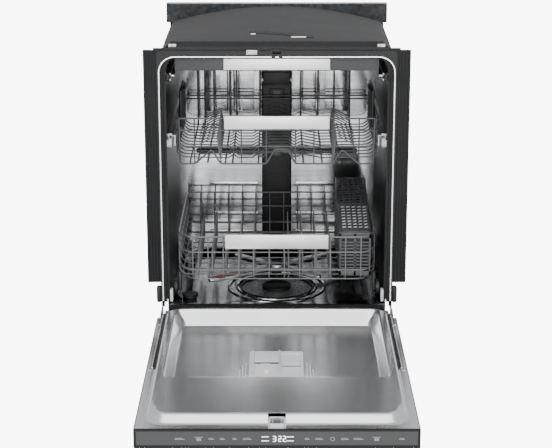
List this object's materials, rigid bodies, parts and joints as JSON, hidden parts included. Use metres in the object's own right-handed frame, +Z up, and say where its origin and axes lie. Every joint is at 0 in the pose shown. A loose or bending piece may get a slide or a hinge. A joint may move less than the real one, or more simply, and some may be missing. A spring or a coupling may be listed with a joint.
{
  "type": "built in dishwasher",
  "caption": "Built-in dishwasher with drop-down door, three sliding racks, spray arms, filter, pumps and base, for a 610 mm wide cupboard gap.",
  "frame": {"origin": "on the floor, in the middle of the width, in the plane of the front frame round the tub's mouth", "axes": "+X to the right seen from the front, +Y towards the back, +Z up"},
  "size_m": [0.652, 1.3172, 0.862],
  "materials": {
    "stainless_tub": "bright rolled stainless steel",
    "black_plastic": "moulded black polypropylene",
    "black_coated_steel": "satin black powder coat",
    "galvanised_steel": "plain zinc-coated sheet",
    "black_rubber": "moulded rubber",
    "sound_blanket": "dark bitumen felt",
    "rack_wire": "grey nylon coated wire",
    "grey_plastic": "moulded dark grey polypropylene",
    "light_plastic": "moulded light grey plastic",
    "satin_steel": "satin brushed stainless",
    "dark_panel": "dark stainless finish",
    "display_lens": "dark gloss lens",
    "filter_mesh": "fine perforated stainless",
    "white_plastic": "moulded white acetal"
  },
  "bodies": {
    "cabinet": {"tub_wrapper": "stainless_tub", "tub_back_wall": "stainless_tub", "tub_floor": "stainless_tub", "front_frame": "black_coated_steel", "strike_box": "black_plastic", "mouth_trim": "stainless_tub", "tub_gasket": "black_rubber", "insulation_blanket": "sound_blanket", "side_seals": "black_rubber", "rear_bracket": "galvanised_steel", "cabinet_clips": "galvanised_steel", "base_tray": "black_plastic", "side_frames": "galvanised_steel", "kick_plate": "black_coated_steel", "leveling_feet": "black_plastic", "door_springs": "galvanised_steel", "sump": "black_plastic", "filter_plate": "filter_mesh", "circulation_pump": "black_plastic", "drain_pump": "black_plastic", "drain_nozzle": "black_plastic", "inlet_valve": "white_plastic", "junction_box": "galvanised_steel", "water_duct": "black_plastic", "rack_rails": "satin_steel"},
    "filter_cup": {"filter_cup": "grey_plastic"},
    "pump_impeller": {"pump_impeller": "white_plastic"},
    "float_dome": {"float_dome": "grey_plastic"},
    "lower_spray_arm": {"lower_spray_arm": "satin_steel"},
    "top_spray_arm": {"top_spray_arm": "black_plastic"},
    "rail_rollers": {"rail_rollers": "satin_steel"},
    "lower_rack": {"lower_rack_basket": "rack_wire", "lower_rack_handle": "satin_steel"},
    "lower_front_wheels": {"lower_front_wheels": "grey_plastic"},
    "lower_rear_wheels": {"lower_rear_wheels": "grey_plastic"},
    "lower_folding_tines": {"lower_folding_tines": "rack_wire"},
    "cutlery_basket": {"cutlery_basket": "grey_plastic"},
    "cutlery_lids": {"cutlery_lids": "grey_plastic"},
    "rack_sliders": {"rack_sliders": "satin_steel"},
    "upper_rack": {"upper_rack_basket": "rack_wire", "rack_adjusters": "grey_plastic", "upper_rack_handle": "satin_steel", "rack_feed_pipe": "black_plastic"},
    "middle_spray_arm": {"middle_spray_arm": "black_plastic"},
    "upper_left_tines": {"upper_left_tines": "rack_wire"},
    "upper_right_tines": {"upper_right_tines": "rack_wire"},
    "third_rack": {"third_rack_basket": "rack_wire", "third_rack_handle": "satin_steel"},
    "door": {"door_outer_panel": "dark_panel", "door_liner": "stainless_tub", "control_panel": "dark_panel", "touch_display": "display_lens", "door_handle": "dark_panel", "latch_housing": "grey_plastic", "dispenser_body": "light_plastic", "hinge_arms": "galvanised_steel"},
    "latch_claw": {"latch_claw": "galvanised_steel"},
    "detergent_lid": {"detergent_lid": "light_plastic"},
    "rinse_aid_lid": {"rinse_aid_lid": "light_plastic"},
    "lid_button": {"lid_button": "white_plastic"}
  },
  "joints": [
    {"name": "door_hinge", "type": "hinge", "parent": "cabinet", "child": "door", "pos_m": [0, -0.027, 0.139], "axis": [1, 0, 0], "range_deg": [-90, 0]},
    {"name": "lower_rack_slide", "type": "slide", "parent": "cabinet", "child": "lower_rack", "axis": [0, -1, 0], "range_m": [0, 0.46]},
    {"name": "lower_front_wheel_spin", "type": "hinge", "parent": "lower_rack", "child": "lower_front_wheels", "pos_m": [0, 0.084, 0.1866], "axis": [1, 0, 0], "continuous": true},
    {"name": "lower_rear_wheel_spin", "type": "hinge", "parent": "lower_rack", "child": "lower_rear_wheels", "pos_m": [0, 0.404, 0.1866], "axis": [1, 0, 0], "continuous": true},
    {"name": "upper_rack_slide", "type": "slide", "parent": "cabinet", "child": "rack_sliders", "axis": [0, -1, 0], "range_m": [0, 0.42]},
    {"name": "upper_rack_height", "type": "slide", "parent": "rack_sliders", "child": "upper_rack", "axis": [0, 0, 1], "range_m": [0, 0.045]},
    {"name": "rail_roller_spin", "type": "hinge", "parent": "cabinet", "child": "rail_rollers", "pos_m": [0, 0.032, 0.58], "axis": [1, 0, 0], "continuous": true},
    {"name": "third_rack_slide", "type": "slide", "parent": "cabinet", "child": "third_rack", "axis": [0, -1, 0], "range_m": [0, 0.4]},
    {"name": "lower_arm_spin", "type": "hinge", "parent": "cabinet", "child": "lower_spray_arm", "pos_m": [0, 0.245, 0.186], "axis": [0, 0, 1], "continuous": true},
    {"name": "middle_arm_spin", "type": "hinge", "parent": "upper_rack", "child": "middle_spray_arm", "pos_m": [0, 0.245, 0.51], "axis": [0, 0, 1], "continuous": true},
    {"name": "top_arm_spin", "type": "hinge", "parent": "cabinet", "child": "top_spray_arm", "pos_m": [0, 0.245, 0.788], "axis": [0, 0, 1], "continuous": true},
    {"name": "impeller_spin", "type": "hinge", "parent": "cabinet", "child": "pump_impeller", "pos_m": [0.15, 0.275, 0.092], "axis": [0, 1, 0], "continuous": true},
    {"name": "float_rise", "type": "slide", "parent": "cabinet", "child": "float_dome", "axis": [0, 0, 1], "range_m": [0, 0.012]},
    {"name": "filter_turn", "type": "hinge", "parent": "cabinet", "child": "filter_cup", "pos_m": [0, 0.19, 0.13], "axis": [0, 0, 1], "range_deg": [0, 90]},
    {"name": "lower_tines_fold", "type": "hinge", "parent": "lower_rack", "child": "lower_folding_tines", "pos_m": [-0.06, 0.236, 0.2248], "axis": [0, 1, 0], "range_deg": [0, 82]},
    {"name": "cutlery_basket_lift", "type": "slide", "parent": "lower_rack", "child": "cutlery_basket", "axis": [0, 0, 1], "range_m": [0, 0.01]},
    {"name": "cutlery_lids_open", "type": "hinge", "parent": "cutlery_basket", "child": "cutlery_lids", "pos_m": [0.161, 0.04147, 0.34685], "axis": [0, -0.9833, -0.1821], "range_deg": [0, 65]},
    {"name": "upper_left_tines_fold", "type": "hinge", "parent": "upper_rack", "child": "upper_left_tines", "pos_m": [-0.142, 0.229, 0.5348], "axis": [0, 1, 0], "range_deg": [0, 75]},
    {"name": "upper_right_tines_fold", "type": "hinge", "parent": "upper_rack", "child": "upper_right_tines", "pos_m": [0.142, 0.229, 0.5348], "axis": [0, -1, 0], "range_deg": [0, 75]},
    {"name": "latch_swing", "type": "hinge", "parent": "door", "child": "latch_claw", "pos_m": [0, -0.708, 0.138], "axis": [1, 0, 0], "range_deg": [0, 25]},
    {"name": "detergent_lid_slide", "type": "slide", "parent": "door", "child": "detergent_lid", "axis": [0, -1, 0], "range_m": [0, 0.048]},
    {"name": "rinse_aid_lid_open", "type": "hinge", "parent": "door", "child": "rinse_aid_lid", "pos_m": [0.033, -0.284, 0.1408], "axis": [-1, 0, 0], "range_deg": [0, 75]},
    {"name": "lid_button_press", "type": "slide", "parent": "door", "child": "lid_button", "axis": [0, 0, -1], "range_m": [0, 0.002], "stiffness_N_per_m": 300}
  ],
  "couplings": [
    {"joint": "lower_front_wheel_spin", "follows": "lower_rack_slide", "rad_per_m": 50},
    {"joint": "lower_rear_wheel_spin", "follows": "lower_rack_slide", "rad_per_m": 50},
    {"joint": "rail_roller_spin", "follows": "upper_rack_slide", "rad_per_m": 83.333}
  ]
}
